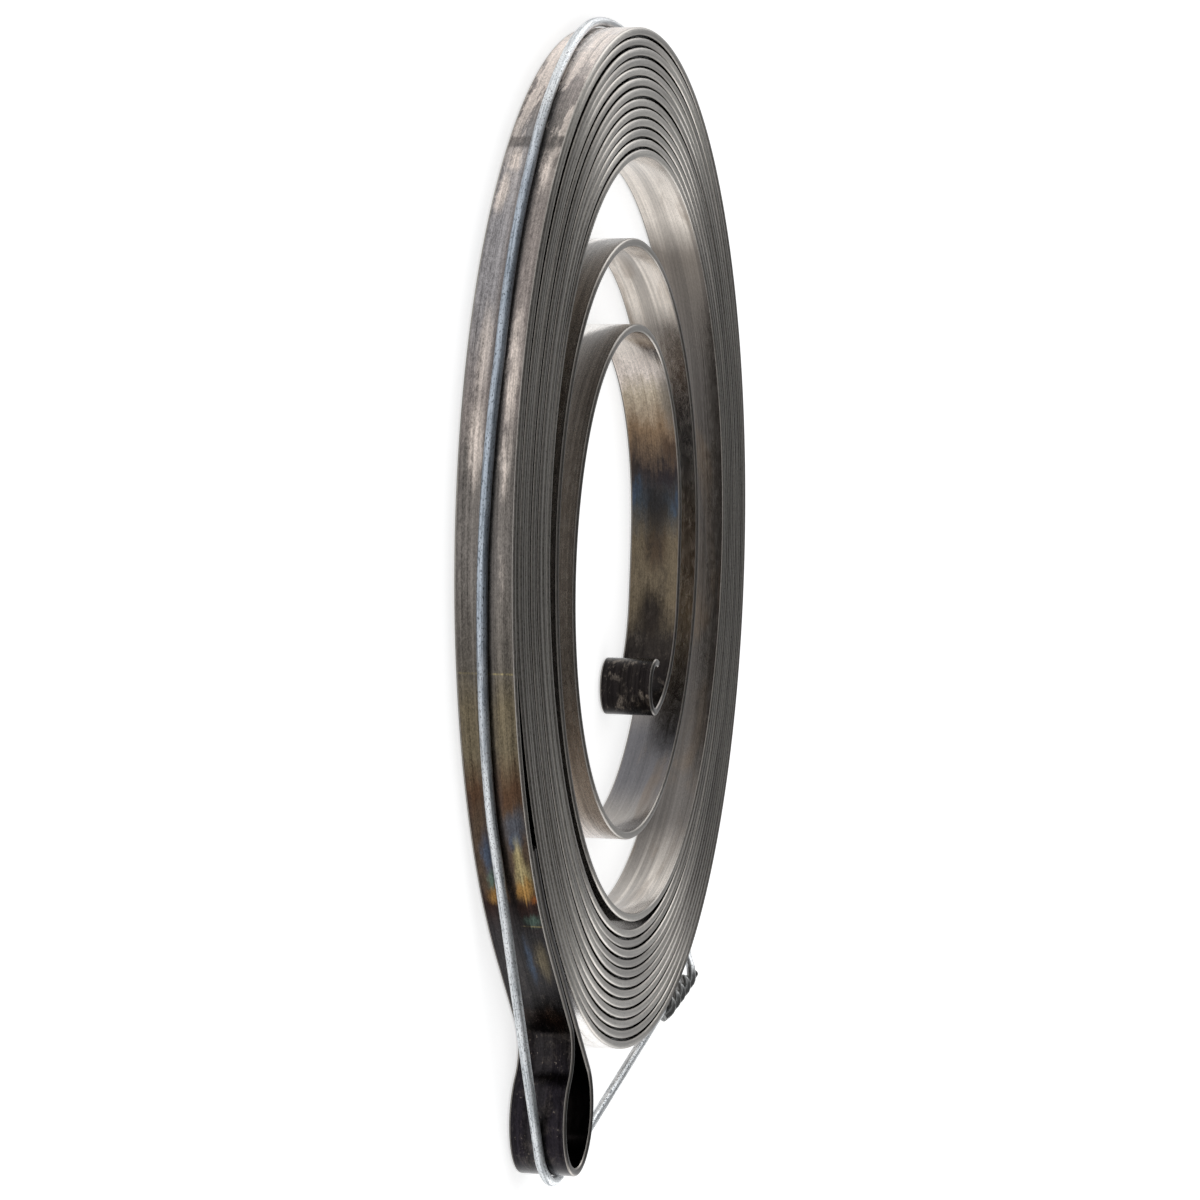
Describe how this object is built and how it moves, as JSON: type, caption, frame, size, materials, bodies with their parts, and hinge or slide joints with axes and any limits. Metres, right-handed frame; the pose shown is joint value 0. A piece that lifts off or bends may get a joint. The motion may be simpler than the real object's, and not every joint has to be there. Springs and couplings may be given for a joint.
{
  "type": "recoil starter spring",
  "caption": "Flat spiral recoil starter spring of tempered steel strip with an outer anchor loop and an inner hub hook, held wound by a twisted tie wire.",
  "frame": {"origin": "axis of the coil on the plane it rests on", "axes": "+Z along the coil's axis, up from the resting plane; +X towards the anchor loop's side, so that the loop lies at +X and -Y"},
  "size_m": [0.1386, 0.1283, 0.0084],
  "materials": {
    "strip_steel": "tempered spring steel with heat tint, satin and lightly scuffed",
    "galvanised_wire": "dull galvanised, drawn"
  },
  "bodies": {
    "root": {"spring": "strip_steel", "binding_wire": "galvanised_wire"}
  },
  "joints": []
}
